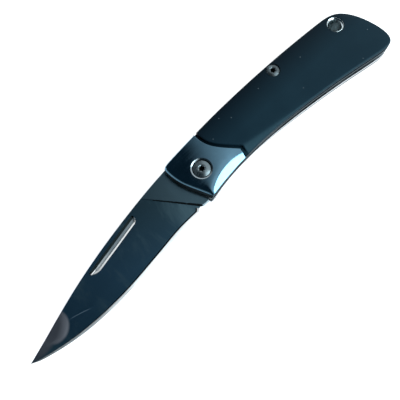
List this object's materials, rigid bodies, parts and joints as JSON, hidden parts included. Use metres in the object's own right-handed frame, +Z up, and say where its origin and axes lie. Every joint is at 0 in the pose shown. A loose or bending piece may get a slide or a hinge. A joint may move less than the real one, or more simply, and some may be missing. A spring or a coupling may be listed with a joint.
{
  "type": "folding pocket knife",
  "caption": "Slip-joint folding pocket knife lying open: a drop-point blade with a nail nick, steel bolsters, dark scales on steel liners and a lanyard tube.",
  "frame": {"origin": "middle of the open knife's box, on the surface that it lies on", "axes": "+X from the blade's tip to the butt, +Y towards the back of the handle, +Z up through the near side, along the blade's pivot"},
  "size_m": [0.1492, 0.0232, 0.0079],
  "materials": {
    "blade_steel": "dark polished",
    "bolster_steel": "satin",
    "liner_steel": "ground",
    "spring_steel": "ground",
    "scale_composite": "fine matte",
    "screw_steel": "turned",
    "hardware_steel": "turned",
    "tube_steel": "bright",
    "washer_bronze": "rolled"
  },
  "bodies": {
    "handle": {"backspring": "spring_steel", "near_liner": "liner_steel", "far_liner": "liner_steel", "near_bolster": "bolster_steel", "far_bolster": "bolster_steel", "near_scale": "scale_composite", "far_scale": "scale_composite", "pivot_barrel": "hardware_steel", "near_pivot_screw": "screw_steel", "far_pivot_screw": "screw_steel", "near_washer": "washer_bronze", "far_washer": "washer_bronze", "body_barrel": "hardware_steel", "near_body_screw": "screw_steel", "far_body_screw": "screw_steel", "lanyard_tube": "tube_steel", "near_bolster_screws": "hardware_steel", "far_bolster_screws": "hardware_steel", "near_scale_screw": "hardware_steel", "far_scale_screw": "hardware_steel"},
    "blade": {"blade": "blade_steel"}
  },
  "joints": [
    {"name": "blade_fold", "type": "hinge", "parent": "handle", "child": "blade", "pos_m": [-0.0022, 0.00055, 0.00397], "axis": [0, 0, 1], "range_deg": [0, 168], "deforming": ["backspring"]}
  ]
}
